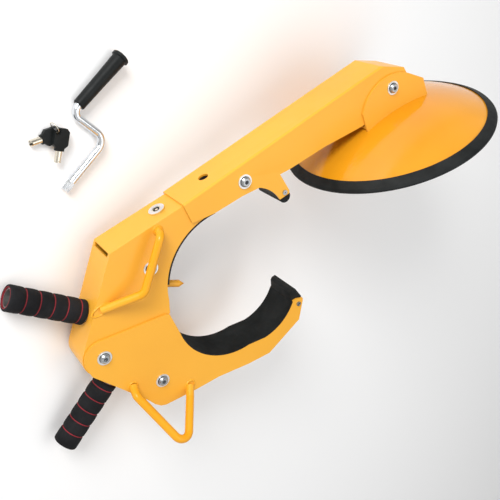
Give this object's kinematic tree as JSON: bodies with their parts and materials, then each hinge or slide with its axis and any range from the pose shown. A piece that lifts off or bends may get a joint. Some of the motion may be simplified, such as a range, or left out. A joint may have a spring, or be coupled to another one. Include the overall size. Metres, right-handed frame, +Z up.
{
  "type": "wheel clamp",
  "caption": "Hinged tyre clamp of folded yellow sheet with a domed hub cover, foam handles, lock, crank and keys.",
  "frame": {"origin": "bottom centre of the box, on the floor that the clamp lies on", "axes": "+X along the arm towards the cover disc, +Z up from the floor"},
  "size_m": [0.7944, 0.4798, 0.3184],
  "materials": {
    "yellow_paint": "gloss powder coat",
    "dome_paint": "high gloss paint",
    "black_foam": "matte foam",
    "red_foam": "matte foam",
    "black_rubber": "satin",
    "black_plastic": "satin",
    "zinc_rod": "bright zinc",
    "nickel": "bright nickel",
    "lock_chrome": "satin chrome",
    "zinc_steel": "zinc plated",
    "tube_steel": "bare steel"
  },
  "bodies": {
    "body": {"body_shell": "yellow_paint", "edge_plate": "yellow_paint", "arc_lining": "black_rubber", "tread_spike": "yellow_paint", "upper_handle_tube": "tube_steel", "upper_grip_liner": "red_foam", "upper_grip_foam": "black_foam", "carry_handle": "yellow_paint", "pawl_pivot_bolt": "zinc_steel", "pawl_pivot_nut": "zinc_steel", "pawl_pivot_washers": "zinc_steel", "pawl_spacers": "zinc_steel", "lock_barrel": "lock_chrome", "jack_nut": "zinc_steel"},
    "arm": {"arm_shell": "yellow_paint", "hook_pad": "black_rubber", "hook_rivets": "zinc_steel", "arm_bolt": "zinc_steel", "arm_nut": "zinc_steel", "arm_washers": "zinc_steel"},
    "jaw": {"jaw_shell": "yellow_paint", "jaw_liner_plate": "yellow_paint", "jaw_lining": "black_rubber", "jaw_tip_cap": "black_rubber", "jaw_rivets": "zinc_steel", "lower_handle_tube": "tube_steel", "lower_grip_liner": "red_foam", "lower_grip_foam": "black_foam", "foot_loop": "yellow_paint", "jaw_pivot_bolt": "zinc_steel", "jaw_pivot_nut": "zinc_steel", "jaw_pivot_washers": "zinc_steel", "jaw_cross_bolt": "zinc_steel", "jaw_cross_nut": "zinc_steel", "jaw_cross_washers": "zinc_steel", "jaw_ratchet": "zinc_steel", "ratchet_spacers": "zinc_steel"},
    "disc": {"disc_dome": "dome_paint", "disc_trim": "black_rubber", "disc_bracket": "yellow_paint", "disc_bolt": "zinc_steel", "disc_nut": "zinc_steel", "disc_washers": "zinc_steel"},
    "pawl": {"pawl": "zinc_steel"},
    "plug": {"lock_plug": "lock_chrome", "lock_cam": "zinc_steel"},
    "thrust_cap": {"thrust_cap": "zinc_steel"},
    "jack_screw": {"jack_screw": "zinc_steel"},
    "crank": {"crank_rod": "zinc_rod"},
    "crank_grip": {"crank_grip": "black_plastic"},
    "key_ring": {"key_ring": "nickel"},
    "key_a": {"key_a_head": "black_plastic", "key_a_barrel": "nickel"},
    "key_b": {"key_b_head": "black_plastic", "key_b_barrel": "nickel"}
  },
  "joints": [
    {"name": "arm_tilt", "type": "hinge", "parent": "body", "child": "arm", "pos_m": [-0.01478, 0.03866, 0.09314], "axis": [0.224, -0.0836, -0.971], "range_deg": [0, 5]},
    {"name": "cap_rise", "type": "slide", "parent": "body", "child": "thrust_cap", "axis": [0, 0.9963, -0.0858], "range_m": [0, 0.0036]},
    {"name": "screw_turn", "type": "hinge", "parent": "thrust_cap", "child": "jack_screw", "pos_m": [-0.05318, 0.05195, 0.08314], "axis": [0, 0.9963, -0.0858], "range_deg": [0, 710]},
    {"name": "jaw_swing", "type": "hinge", "parent": "body", "child": "jaw", "pos_m": [-0.28455, -0.06161, 0.03955], "axis": [-0.224, 0.0836, 0.971], "range_deg": [-35, 8]},
    {"name": "pawl_lift", "type": "hinge", "parent": "body", "child": "pawl", "pos_m": [-0.17598, 0.00868, 0.05854], "axis": [-0.224, 0.0836, 0.971], "range_deg": [0, 8]},
    {"name": "lock_turn", "type": "hinge", "parent": "body", "child": "plug", "pos_m": [-0.12725, 0.06045, 0.06532], "axis": [0, 0.9963, -0.0858], "range_deg": [0, 90]},
    {"name": "disc_swing", "type": "hinge", "parent": "arm", "child": "disc", "pos_m": [0.24241, 0.03068, 0.15316], "axis": [-0.224, 0.0836, 0.971], "range_deg": [-2, 35]},
    {"name": "crank_lift", "type": "slide", "parent": "body", "child": "crank", "axis": [0, 0, 1], "range_m": [0, 0.15]},
    {"name": "crank_grip_spin", "type": "hinge", "parent": "crank", "child": "crank_grip", "pos_m": [-0.12981, 0.20955, 0.0081], "axis": [0.9707, 0.2364, 0.0422], "continuous": true},
    {"name": "keys_lift", "type": "slide", "parent": "body", "child": "key_ring", "axis": [0, 0, 1], "range_m": [0, 0.1]},
    {"name": "key_a_swing", "type": "hinge", "parent": "key_ring", "child": "key_a", "pos_m": [-0.16991, 0.19985, 0.005], "axis": [0, 0, 1], "range_deg": [-10, 10]},
    {"name": "key_b_swing", "type": "hinge", "parent": "key_ring", "child": "key_b", "pos_m": [-0.16991, 0.19985, 0.009], "axis": [0, 0, 1], "range_deg": [-10, 10]}
  ],
  "couplings": [
    {"joint": "cap_rise", "follows": "arm_tilt", "m_per_rad": 0.0394},
    {"joint": "screw_turn", "follows": "arm_tilt", "ratio": 140},
    {"joint": "pawl_lift", "follows": "lock_turn", "ratio": 0.08889}
  ]
}
